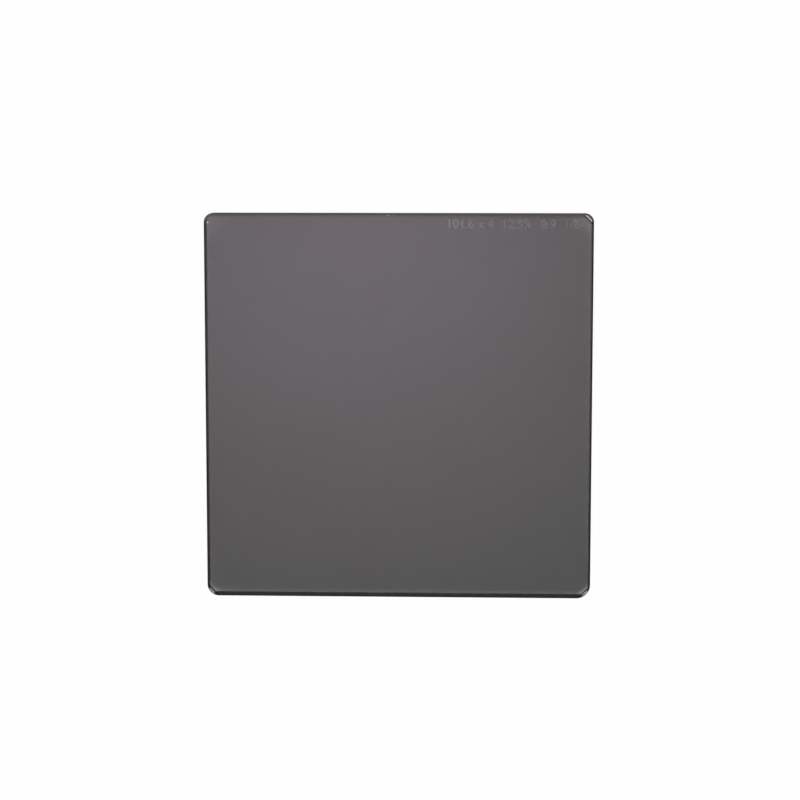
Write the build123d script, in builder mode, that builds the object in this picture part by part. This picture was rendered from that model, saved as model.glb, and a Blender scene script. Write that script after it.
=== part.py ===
from build123d import *
import os

# Square neutral density filter: two panes of optical glass cemented together
# with a grey layer between them. It lies on its rear face. X runs to the
# right and Y to the top of the plate as it is read, Z is the optical axis,
# and the origin is the middle of the rear face.

# Outline that the whole stack is ground to, with each corner rounded by hand
side_length = 101.6
upper_left_radius = 2.4
upper_right_radius = 2.2
lower_right_radius = 3.6
lower_left_radius = 3.0

# Thickness of each piece, from the rear face to the front face
rear_glass_thickness = 1.93
cement_thickness = 0.02
layer_thickness = 0.1
front_glass_thickness = 1.93

# Ground bevels round the outer rim of each pane, at 45 degrees
rear_bevel = 0.4
front_bevel = 0.4

# Grey layer: a cemented rim seals it, and three of its corners are cut off,
# each by its own leg length along the sides
layer_setback = 0.15
upper_right_clip = 2.5
lower_right_clip = 2.4
lower_left_clip = 2.1

# Heights of the faces that meet inside the stack
layer_bottom = rear_glass_thickness + cement_thickness
layer_top = layer_bottom + layer_thickness
front_glass_bottom = layer_top + cement_thickness

os.makedirs("parts", exist_ok=True)


def rounded_square(setback=0.0):
    """Outline of the stack, drawn in from its rim by the setback."""
    half = side_length / 2 - setback
    with BuildSketch() as outline:
        Rectangle(2 * half, 2 * half)
        for x_sign, y_sign, radius in (
            (-1, 1, upper_left_radius),
            (1, 1, upper_right_radius),
            (1, -1, lower_right_radius),
            (-1, -1, lower_left_radius),
        ):
            corner = outline.vertices().sort_by_distance((x_sign * half, y_sign * half))[0]
            fillet(corner, radius - setback)
    return outline.sketch


# Rear pane: rounded square with the rim of its outer face bevelled
with BuildPart() as rear_glass:
    with BuildSketch():
        add(rounded_square())
    extrude(amount=rear_glass_thickness)
    rear_face = rear_glass.faces().sort_by(Axis.Z)[0]
    chamfer(rear_face.edges(), rear_bevel)

rear_glass.part.label = "rear_glass"
export_step(rear_glass.part, "parts/rear_glass.step")

# Grey layer: the outline of the panes set back from the rim, where the lower
# two corners and the upper right one are cut off straight
with BuildPart() as density_layer:
    with BuildSketch(Plane.XY.offset(layer_bottom)):
        add(rounded_square(layer_setback))
        corner = side_length / 2 - layer_setback
        for x_sign, y_sign, clip in (
            (1, 1, upper_right_clip),
            (1, -1, lower_right_clip),
            (-1, -1, lower_left_clip),
        ):
            with BuildLine():
                Polyline(
                    (x_sign * corner, y_sign * corner),
                    (x_sign * (corner - clip), y_sign * corner),
                    (x_sign * corner, y_sign * (corner - clip)),
                    close=True,
                )
            make_face(mode=Mode.SUBTRACT)
    extrude(amount=layer_thickness)

density_layer.part.label = "density_layer"
export_step(density_layer.part, "parts/density_layer.step")

# Front pane: the same outline, with its bevel on the face towards the scene
with BuildPart() as front_glass:
    with BuildSketch(Plane.XY.offset(front_glass_bottom)):
        add(rounded_square())
    extrude(amount=front_glass_thickness)
    front_face = front_glass.faces().sort_by(Axis.Z)[-1]
    chamfer(front_face.edges(), front_bevel)

front_glass.part.label = "front_glass"
export_step(front_glass.part, "parts/front_glass.step")
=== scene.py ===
from collections import namedtuple

import bmesh
import bpy
from mathutils import Matrix, Vector


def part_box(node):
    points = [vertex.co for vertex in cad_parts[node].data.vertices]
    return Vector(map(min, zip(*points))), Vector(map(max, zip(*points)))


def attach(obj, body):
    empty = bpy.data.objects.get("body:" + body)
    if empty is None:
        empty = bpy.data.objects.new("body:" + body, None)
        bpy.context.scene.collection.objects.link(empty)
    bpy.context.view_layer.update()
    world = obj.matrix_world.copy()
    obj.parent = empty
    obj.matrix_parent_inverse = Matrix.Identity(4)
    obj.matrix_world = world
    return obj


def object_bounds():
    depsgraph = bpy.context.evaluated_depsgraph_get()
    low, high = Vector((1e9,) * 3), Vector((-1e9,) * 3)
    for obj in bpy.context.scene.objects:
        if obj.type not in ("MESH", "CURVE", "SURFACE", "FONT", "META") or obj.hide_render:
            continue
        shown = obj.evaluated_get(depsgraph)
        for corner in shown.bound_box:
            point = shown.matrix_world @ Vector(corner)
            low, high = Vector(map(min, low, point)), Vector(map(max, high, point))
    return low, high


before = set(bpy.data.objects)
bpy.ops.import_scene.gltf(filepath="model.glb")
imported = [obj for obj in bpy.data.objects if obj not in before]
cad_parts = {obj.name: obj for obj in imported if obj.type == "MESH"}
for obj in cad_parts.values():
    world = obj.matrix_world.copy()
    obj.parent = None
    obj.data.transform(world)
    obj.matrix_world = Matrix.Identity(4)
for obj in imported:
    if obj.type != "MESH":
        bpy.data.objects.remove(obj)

cad_low, cad_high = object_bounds()
scene = bpy.context.scene
scene.view_settings.view_transform = "Standard"
MM = 0.001

# Half side of the plate, height of its front face and half side of its grey layer
HALF_SIDE = cad_high.x
FRONT_Z = cad_high.z
FILM_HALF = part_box("density_layer")[1].x

# Camera above the plate, a little towards its upper right corner
CAMERA_PLACE = Vector((22.551, 73.254, 576.649)) * MM
CAMERA_TURN = (-0.123874, 0.038217, 0.004985)
CAMERA_LENS = 99.0
CAMERA_SENSOR = 36.0
CAMERA_NEAR = 0.01


def add_camera():
    data = bpy.data.cameras.new("camera")
    data.sensor_width = CAMERA_SENSOR
    data.lens = CAMERA_LENS
    data.clip_start = CAMERA_NEAR
    camera = bpy.data.objects.new("camera", data)
    scene.collection.objects.link(camera)
    turn = Matrix.Identity(3)
    for angle, axis in zip(CAMERA_TURN, "XYZ"):
        turn = turn @ Matrix.Rotation(angle, 3, axis)
    camera.rotation_mode = "QUATERNION"
    camera.rotation_quaternion = turn.to_quaternion()
    camera.location = CAMERA_PLACE
    return camera


scene.camera = add_camera()


class Side(namedtuple("Side", "x_sign y_sign brightening seal coating_left")):
    """A side of the grey layer: how much brighter the painted light in the band along it is, how wide the
    painted shade along its edge is, and what share of the coating is left above that painted shade."""


class Corner(namedtuple("Corner", "x_sign y_sign leg bare bead thinning reach power setback")):
    """A corner of the grey layer: leg of its cut, strip left bare beside the cut, width of the painted
    shade along the cut, how much painted light brightens the layer towards that shade, from how far away
    and with what curve, and how far before the painted shade the coating ends."""


# Sides of the grey layer that end in a line of painted shade, with a band of painted light inside it
FILM_SIDES = (
    Side(1, 0, brightening=1.10, painted_shade=0.55 * MM, coating_left=1.0),
    Side(-1, 0, brightening=1.05, painted_shade=0.56 * MM, coating_left=0.6),
    Side(0, -1, brightening=1.28, painted_shade=0.90 * MM, coating_left=0.62),
)
SIDE_BAND_START = 1.1 * MM
SIDE_BAND_END = 0.3 * MM
PAINTED_SHADE_BLUR = 0.2 * MM

# Corners of the grey layer, three of them cut off behind a line of painted shade, each with painted light
# growing towards it
UPPER_RIGHT = Corner(1, 1, leg=2.5 * MM, bare=0.03 * MM, cut_shade=0.35 * MM,
                     painted_light=0.40, reach=4.2 * MM, power=0.35, setback=0.02 * MM)
LOWER_RIGHT = Corner(1, -1, leg=2.4 * MM, bare=0.08 * MM, cut_shade=0.40 * MM,
                     painted_light=0.95, reach=1.8 * MM, power=1.2, setback=0.25 * MM)
LOWER_LEFT = Corner(-1, -1, leg=2.1 * MM, bare=0.05 * MM, cut_shade=0.60 * MM,
                    painted_light=0.95, reach=2.3 * MM, power=1.6, setback=0.40 * MM)
UPPER_LEFT = Corner(-1, 1, leg=0.0, bare=0.0, cut_shade=0.0,
                    painted_light=0.31, reach=8.0 * MM, power=0.4, setback=-1.0 * MM)
FILM_CORNERS = (UPPER_RIGHT, LOWER_RIGHT, LOWER_LEFT, UPPER_LEFT)
CUT_SHADE_BLUR = 0.12 * MM
CUT_BLUR = 0.04 * MM

# Share of light that passes the grey layer, at its middle, in its lines of painted shade and in the
# painted shade along its top edge
FILM_CLEARNESS = 0.345
FILM_UNEVENNESS = 0.004
PAINTED_SHADE_CLEARNESS = 0.1
FILM_TOP_SHADE_BAND = 1.3 * MM
FILM_TOP_SHADE_CLEARNESS = 0.2
FILM_TINT = (0.85, 1.1, 0.88)
FILM_SHADE = 0.018
FILM_ROUGHNESS = 0.4

# Faint rough coating on the outer faces, and how it ends before the lines of painted shade
COATING = 0.35
COATING_ROUGHNESS = 0.4
COATING_IOR = 1.5
COATING_SIDE_GAP = 0.2 * MM
COATING_SIDE_BLUR = 0.15 * MM
COATING_CORNER_BLUR = 0.05 * MM
COATING_CORNER_LEFT = 0.1

# Painted shade over the faces at the upper right corner, from where it starts, as X plus Y
UPPER_RIGHT_SHADE_START = 2 * HALF_SIDE - 2.16 * MM
UPPER_RIGHT_SHADE_BLUR = 0.15 * MM

# Small bright chips along the front face's edge, place and radius
CHIPS = (
    (Vector((1.05 * MM - HALF_SIDE, HALF_SIDE - 2.45 * MM, FRONT_Z)), 0.28 * MM),
    (Vector((-2.7 * MM, HALF_SIDE - 0.42 * MM, FRONT_Z)), 0.25 * MM),
    (Vector((-1.2 * MM, HALF_SIDE - 0.40 * MM, FRONT_Z)), 0.16 * MM),
)

# Dust on the outer faces: one grain at most in each cell, and in few of the cells
DUST_CELL_SCALE = 190.0
DUST_EDGE_SCALE = 6000.0
DUST_RADIUS = 0.03
DUST_RAGGEDNESS = 0.02
DUST_SHARE = 0.2
DUST_DENSITY = 0.3
MARK_ROUGHNESS = 0.5

# Fine grit and cloudy patches of the ground rims
GRIT_SCALE = 5200.0
GRIT_DEPTH = 0.02 * MM
GRIT_STRENGTH = 0.25
PATCH_SCALE = 420.0
PATCHINESS = 0.15

# Rim painted dark as shade, and painted greyer as light along the top and round the upper left corner
RIM_TOP_PAINTED_LIGHT = (2.2 * MM, 0.9 * MM)
RIM_UPPER_LEFT_PAINTED_LIGHT = (3.2 * MM, 1.6 * MM)
RIM_SHADE_TINT = (0.92, 1.06, 0.94)
RIM_REFLECTION = 0.08

# Refraction of the optical glass
GLASS_IOR = 1.52


def grey(value, tint=(1.0, 1.0, 1.0)):
    return (value * tint[0], value * tint[1], value * tint[2], 1.0)


WHITE = grey(1.0)
BLACK = grey(0.0)
# Grey of the panes: partly the filter's own density, partly painted shade of the floor under the plate,
# which shows at the clear corners
CLEAR_GLASS = grey(0.38, (0.9, 1.0, 0.885))
HAZY_GLASS = grey(0.39, (0.905, 1.0, 0.89))
# Painted shade: the glass a little darker and more neutral towards the corners
CORNER_SHADE_GLASS = grey(0.362)
DARK_DUST = grey(0.1)
PALE_DUST = grey(0.6)
# Painted shade over the faces at the upper right corner
UPPER_RIGHT_SHADE_COLOUR = grey(0.02)
CHIP_COLOUR = grey(0.45)


class Nodes:
    """The node tree of a material or world, emptied, with short ways to add and join nodes."""

    def __init__(self, owner, output="OutputMaterial"):
        owner.use_nodes = True
        self.owner = owner
        self.tree = owner.node_tree
        self.tree.nodes.clear()
        self.output = self.add(output)

    def add(self, kind, settings=None, **inputs):
        """A new node, with its inputs given by name, or by number as i0, i1 and so on."""
        node = self.tree.nodes.new("ShaderNode" + kind)
        for key, value in (settings or {}).items():
            setattr(node, key, value)
        for key, value in inputs.items():
            self.put(node.inputs[int(key[1:]) if key[1:].isdigit() else key.replace("_", " ")], value)
        return node

    def put(self, socket, value):
        if isinstance(value, bpy.types.NodeSocket):
            self.tree.links.new(value, socket)
        else:
            socket.default_value = value

    def surface(self, shader):
        self.put(self.output.inputs["Surface"], shader.outputs[0])
        return self.owner

    def place(self):
        return self.add("TexCoord").outputs["Object"]

    def split(self, place):
        x, y, _ = self.add("SeparateXYZ", Vector=place).outputs
        return x, y

    def noise(self, place, scale, detail, roughness=0.5):
        node = self.add("TexNoise", Vector=place, Scale=scale, Detail=detail, Roughness=roughness)
        return node.outputs["Fac"]

    def clouds(self, noise, out_low=0.0, out_high=1.0):
        return self.ramp(noise, 0.3, 0.7, out_low, out_high)

    def math(self, operation, a, b=0.0, c=1.0, clamp=False):
        return self.add("Math", {"operation": operation, "use_clamp": clamp}, i0=a, i1=b, i2=c).outputs[0]

    def times(self, a, b):
        return self.math("MULTIPLY", a, b)

    def mix(self, factor, a, b):
        node = self.add("Mix", {"data_type": "RGBA"})
        self.put(node.inputs[0], factor)
        self.put(node.inputs[6], a)
        self.put(node.inputs[7], b)
        return node.outputs[2]

    def ramp(self, value, low, high, out_low=0.0, out_high=1.0):
        node = self.add("MapRange", {"clamp": True}, i0=value, i1=low, i2=high, i3=out_low, i4=out_high)
        return node.outputs[0]

    def along(self, x, y, towards):
        """Distance from the middle towards a side, or X plus Y towards a corner."""
        return self.math("ADD", self.times(x, towards.x_sign), self.times(y, towards.y_sign))


def material_nodes(name):
    return Nodes(bpy.data.materials.new(name))


def cut_shade_start(corner):
    """Where the painted shade beside a corner's cut starts, as X plus Y."""
    return 2 * FILM_HALF - corner.leg - corner.bare - corner.cut_shade


# Dust on the outer faces: where a grain lies, and a random value for its shade
def dust_grains(n, place):
    cells = n.add("TexVoronoi", {"voronoi_dimensions": "2D"}, Vector=place, Scale=DUST_CELL_SCALE)
    pick = n.add("SeparateColor", Color=cells.outputs["Color"]).outputs
    ragged = n.times(n.noise(place, DUST_EDGE_SCALE, detail=2.0), DUST_RAGGEDNESS)
    away = n.math("ADD", cells.outputs["Distance"], ragged)
    inside = n.math("LESS_THAN", away, n.times(pick[1], DUST_RADIUS))
    chosen = n.math("GREATER_THAN", pick[0], 1.0 - DUST_SHARE)
    return n.times(inside, chosen), pick[2]


# Chips: 1 at the middle of each one, 0 away from them
def edge_chips(n, place):
    chip = 0.0
    for middle, radius in CHIPS:
        away = n.add("VectorMath", {"operation": "DISTANCE"}, i0=place, i1=middle).outputs["Value"]
        chip = n.math("MAXIMUM", chip, n.ramp(away, radius * 0.5, radius, 1.0, 0.0))
    return chip


# Coating: weaker beyond the lines of painted shade along the sides and cuts, so that these stay dark
def coating_weight(n, x, y):
    weight = COATING
    for side in FILM_SIDES:
        end = FILM_HALF - side.painted_shade - COATING_SIDE_GAP
        left = n.ramp(n.along(x, y, side), end, end + COATING_SIDE_BLUR, 1.0, side.coating_left)
        weight = n.times(left, weight)
    for corner in FILM_CORNERS:
        end = cut_shade_start(corner) - corner.setback
        left = n.ramp(n.along(x, y, corner), end, end + COATING_CORNER_BLUR, 1.0, COATING_CORNER_LEFT)
        weight = n.times(left, weight)
    return weight


# Polished outer faces: smoke grey glass with a trace of haze, dust and chips. Its grey is partly the
# filter's own density and partly painted shade, with more painted shade towards the corners and over the
# upper right corner
def polished_glass():
    n = material_nodes("optical_glass_polished")
    place = n.place()
    x, y = n.split(place)
    haze = n.noise(place, scale=45.0, detail=4.0, roughness=0.6)
    colour = n.mix(n.clouds(haze), CLEAR_GLASS, HAZY_GLASS)
    # Painted shade: darker, more neutral glass towards each corner
    for corner in FILM_CORNERS:
        end = cut_shade_start(corner)
        colour = n.mix(n.ramp(n.along(x, y, corner), end - corner.reach, end), colour, CORNER_SHADE_GLASS)
    dust, shade = dust_grains(n, place)
    # Painted shade over the faces at the upper right corner
    upper_right_shade = n.ramp(n.along(x, y, UPPER_RIGHT), UPPER_RIGHT_SHADE_START, UPPER_RIGHT_SHADE_START + UPPER_RIGHT_SHADE_BLUR)
    chip = edge_chips(n, place)
    colour = n.mix(dust, colour, n.mix(shade, DARK_DUST, PALE_DUST))
    colour = n.mix(upper_right_shade, colour, UPPER_RIGHT_SHADE_COLOUR)
    colour = n.mix(chip, colour, CHIP_COLOUR)
    marks = n.math("ADD", n.times(dust, DUST_DENSITY), n.math("ADD", upper_right_shade, chip), clamp=True)
    shader = n.add(
        "BsdfPrincipled",
        Base_Color=colour,
        Roughness=n.times(marks, MARK_ROUGHNESS),
        Transmission_Weight=n.math("SUBTRACT", 1.0, marks),
        IOR=GLASS_IOR,
        Specular_Tint=BLACK,
        Coat_Weight=coating_weight(n, x, y),
        Coat_Roughness=COATING_ROUGHNESS,
        Coat_IOR=COATING_IOR,
    )
    return n.surface(shader)


def ground_surface(n, shader, place, roughness, spread):
    """Give the shader the fine grit of ground glass, and return its cloudy patches, 0 to 1."""
    grit = n.noise(place, GRIT_SCALE, detail=3.0, roughness=0.7)
    n.put(shader.inputs["Roughness"], n.ramp(grit, 0.25, 0.75, roughness - spread, roughness + spread))
    bump = n.add("Bump", Strength=GRIT_STRENGTH, Distance=GRIT_DEPTH, Height=grit)
    n.put(shader.inputs["Normal"], bump.outputs[0])
    return n.clouds(n.noise(place, PATCH_SCALE, detail=3.0, roughness=0.6))


# Bare ground glass of the rims
def ground_glass(name, colour, roughness, clearness):
    n = material_nodes(name)
    shader = n.add("BsdfPrincipled", Transmission_Weight=clearness, IOR=GLASS_IOR, Specular_Tint=BLACK)
    patch = ground_surface(n, shader, n.place(), roughness, spread=0.08)
    dark = grey(colour * (1.0 - PATCHINESS))
    pale = grey(colour * (1.0 + PATCHINESS))
    n.put(shader.inputs["Base Color"], n.mix(patch, dark, pale))
    return n.surface(shader)


# Rims: the same ground surface, painted dark as shade, and painted greyer as light along the top and round
# the upper left corner
def shaded_rim():
    n = material_nodes("optical_glass_shaded_rim")
    place = n.place()
    x, y = n.split(place)
    top_start, top_end = (HALF_SIDE - inset for inset in RIM_TOP_PAINTED_LIGHT)
    corner_start, corner_end = (2 * HALF_SIDE - inset for inset in RIM_UPPER_LEFT_PAINTED_LIGHT)
    top = n.ramp(y, top_start, top_end)
    upper_left = n.ramp(n.along(x, y, UPPER_LEFT), corner_start, corner_end)
    shader = n.add("BsdfPrincipled", Specular_IOR_Level=RIM_REFLECTION)
    patch = ground_surface(n, shader, place, roughness=0.55, spread=0.1)
    # Painted shade: the rim's dark colour, patchy
    rim_shade = n.mix(patch, grey(0.004, RIM_SHADE_TINT), grey(0.01, RIM_SHADE_TINT))
    # Painted light: greyer along the top and round the upper left corner
    rim_shade = n.mix(top, rim_shade, grey(0.08, RIM_SHADE_TINT))
    rim_shade = n.mix(upper_left, rim_shade, grey(0.12, RIM_SHADE_TINT))
    n.put(shader.inputs["Base Color"], rim_shade)
    return n.surface(shader)


# Inner faces: the clear cement bends light as the glass does, so nothing shows
def cemented_face():
    n = material_nodes("optical_glass_cemented")
    return n.surface(n.add("BsdfTransparent", Color=WHITE))


# Grey layer: a thin dark film, with painted light in bands inside its edges and towards its corners, and
# painted shade along its edges, its cuts and its top
def grey_film():
    n = material_nodes("grey_layer_film")
    place = n.place()
    x, y = n.split(place)
    least, most = FILM_CLEARNESS - FILM_UNEVENNESS, FILM_CLEARNESS + FILM_UNEVENNESS
    clearness = n.clouds(n.noise(place, scale=30.0, detail=3.0), least, most)
    for side in FILM_SIDES:
        painted_shade_start = FILM_HALF - side.painted_shade
        out = n.along(x, y, side)
        # Painted light: a brighter band inside the side's edge
        band = n.ramp(out, painted_shade_start - SIDE_BAND_START, painted_shade_start - SIDE_BAND_END, 1.0, side.brightening)
        # Painted shade: a dark line along the side's edge
        painted_shade = n.ramp(out, painted_shade_start, painted_shade_start + PAINTED_SHADE_BLUR, 1.0, PAINTED_SHADE_CLEARNESS)
        clearness = n.times(clearness, n.times(band, painted_shade))
    # Painted shade: darker along the layer's top edge
    top = n.ramp(y, FILM_HALF - FILM_TOP_SHADE_BAND, FILM_HALF, 1.0, FILM_TOP_SHADE_CLEARNESS)
    clearness = n.times(clearness, top)
    for corner in FILM_CORNERS:
        start = cut_shade_start(corner)
        end = start + corner.cut_shade
        out = n.along(x, y, corner)
        # Painted light: the layer lets more through towards each corner
        near = n.math("POWER", n.ramp(out, start - corner.reach, start), corner.power)
        fade = n.math("MULTIPLY_ADD", near, corner.painted_light, 1.0)
        # Painted shade: a dark line along the corner's cut
        cut_shade = n.ramp(out, start - CUT_SHADE_BLUR, start, 1.0, PAINTED_SHADE_CLEARNESS)
        clearness = n.times(clearness, n.times(fade, cut_shade))
        clearness = n.math("MAXIMUM", clearness, n.ramp(out, end, end + CUT_BLUR))
    shader = n.add(
        "BsdfPrincipled",
        Base_Color=grey(FILM_SHADE, FILM_TINT),
        Roughness=FILM_ROUGHNESS,
        Specular_IOR_Level=0.0,
        Alpha=n.math("SUBTRACT", 1.0, clearness, clamp=True),
    )
    return n.surface(shader)


POLISHED, SHADED_RIM, CLEAR, BARE_REAR_RIM, CEMENTED = range(5)
pane_materials = [
    polished_glass(),
    shaded_rim(),
    ground_glass("optical_glass_ground", colour=0.85, roughness=0.5, clearness=0.95),
    ground_glass("optical_glass_bare_rear_rim", colour=0.98, roughness=0.2, clearness=1.0),
    cemented_face(),
]


def beyond_lower_cut(place):
    """Whether a place on the rim lies outside the layer's cut at one of the two lower corners."""
    return any(
        place.x * corner.x_sign + place.y * corner.y_sign > 2 * FILM_HALF - corner.leg
        for corner in (LOWER_RIGHT, LOWER_LEFT)
    )


# Panes: outer faces polished, inner faces cemented, rims painted dark as shade except at the lower corners
for name, outward in (("front_glass", 1.0), ("rear_glass", -1.0)):
    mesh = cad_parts[name].data
    mesh.materials.clear()
    for material in pane_materials:
        mesh.materials.append(material)
    for face in mesh.polygons:
        facing = face.normal.z * outward
        if facing > 0.99:
            face.material_index = POLISHED
        elif facing < -0.99:
            face.material_index = CEMENTED
        elif beyond_lower_cut(face.center):
            face.material_index = CLEAR if outward > 0.0 else BARE_REAR_RIM
        else:
            face.material_index = SHADED_RIM

film_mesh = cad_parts["density_layer"].data
film_mesh.materials.clear()
film_mesh.materials.append(grey_film())

# Numerals: side and thickness in millimetres, and the light let through in three ways
NUMERALS = (("101.6 x 4", 12.5 * MM), ("12.5%", 26.8 * MM), ("0.9  1/8", 37.0 * MM))
NUMERAL_SIZE = 3.3 * MM
NUMERAL_BASE = HALF_SIDE - 3.83 * MM
NUMERAL_DEPTH = 0.01 * MM
WORN_OFF_START = NUMERALS[0][1]
WORN_OFF_END = 20.0 * MM
WORN_OFF_SHARE = 0.7
SILVER = grey(0.51)
DULL_SILVER = grey(0.35)
BARE_ETCHING = grey(0.21)


# Silver grey filling of the etched numerals, patchy, and mostly worn off to the right
def numeral_filling():
    n = material_nodes("etched_numerals")
    place = n.place()
    x, _ = n.split(place)
    wear = n.ramp(n.noise(place, scale=1500.0, detail=3.0), 0.35, 0.65)
    worn_off = n.ramp(x, WORN_OFF_START, WORN_OFF_END, 0.0, WORN_OFF_SHARE)
    colour = n.mix(worn_off, n.mix(wear, DULL_SILVER, SILVER), BARE_ETCHING)
    return n.surface(n.add("BsdfPrincipled", Base_Color=colour, Metallic=1.0, Roughness=0.3))


def add_mesh(name, bm, material):
    mesh = bpy.data.meshes.new(name)
    bm.to_mesh(mesh)
    bm.free()
    mesh.materials.append(material)
    piece = bpy.data.objects.new(name, mesh)
    scene.collection.objects.link(piece)
    return piece


# Etched numerals near the top edge, flat, just under the front face
def etched_numerals():
    bm = bmesh.new()
    for words, start in NUMERALS:
        curve = bpy.data.curves.new("numerals", "FONT")
        curve.body = words
        curve.size = NUMERAL_SIZE
        line = bpy.data.objects.new("numerals", curve)
        flat = bpy.data.meshes.new_from_object(line)
        flat.transform(Matrix.Translation((start, NUMERAL_BASE, FRONT_Z - NUMERAL_DEPTH)))
        bm.from_mesh(flat)
        bpy.data.objects.remove(line)
        bpy.data.meshes.remove(flat)
    return add_mesh("etched_numerals", bm, numeral_filling())


marking = etched_numerals()
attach(marking, "root")

# Floor: plain white, with a little of the plate's own soft shadow
FLOOR_HALF = 4.0
FLOOR_Z = -0.05 * MM
FLOOR_SHADING = 0.03


def floor_material():
    n = material_nodes("floor_white")
    rays = n.add("LightPath").outputs
    lit = n.add("BsdfPrincipled", Base_Color=grey(0.9), Roughness=0.9)
    white = n.add("Emission", Color=WHITE, Strength=1.0)
    seen = n.add("MixShader", i0=FLOOR_SHADING, i1=white.outputs[0], i2=lit.outputs[0])
    direct = n.add("MixShader", i0=rays["Is Camera Ray"], i1=lit.outputs[0], i2=seen.outputs[0])
    through = n.math("ADD", rays["Is Glossy Ray"], rays["Is Transmission Ray"], clamp=True)
    return n.surface(n.add("MixShader", i0=through, i1=direct.outputs[0], i2=white.outputs[0]))


def add_floor():
    bm = bmesh.new()
    signs = ((-1, -1), (1, -1), (1, 1), (-1, 1))
    bm.faces.new([bm.verts.new((x * FLOOR_HALF, y * FLOOR_HALF, FLOOR_Z)) for x, y in signs])
    return add_mesh("floor", bm, floor_material())


floor = add_floor()


# Surroundings: seen white, also through the glass, and lighting matt surfaces evenly
def studio_world():
    n = Nodes(bpy.data.worlds.new("studio"), "OutputWorld")
    rays = n.add("LightPath").outputs
    room = n.add("Background", Color=grey(0.35))
    white = n.add("Background", Color=WHITE)
    bent = n.math("ADD", rays["Is Glossy Ray"], rays["Is Transmission Ray"])
    seen = n.math("ADD", rays["Is Camera Ray"], bent, clamp=True)
    return n.surface(n.add("MixShader", i0=seen, i1=room.outputs[0], i2=white.outputs[0]))


scene.world = studio_world()

# Lamp high above the plate
LAMP_PLACE = Vector((-76.8, 4.8, 1200.0)) * MM
LAMP_SIZE = 0.04
LAMP_POWER = 10.0
LAMP_COLOUR = (1.0, 0.78, 0.96)


def add_lamp():
    """Its blurred reflection veils the plate's upper part and fades towards the lower right.

    It is hidden from light that the glass has bent, which would make the plate sparkle.
    """
    data = bpy.data.lights.new("overhead_lamp", "AREA")
    data.shape = "DISK"
    data.size = LAMP_SIZE
    data.energy = LAMP_POWER
    data.color = LAMP_COLOUR
    lamp = bpy.data.objects.new("overhead_lamp", data)
    scene.collection.objects.link(lamp)
    lamp.location = LAMP_PLACE
    lamp.rotation_mode = "QUATERNION"
    lamp.rotation_quaternion = (-LAMP_PLACE).to_track_quat("-Z", "Y")
    lamp.visible_transmission = False


add_lamp()
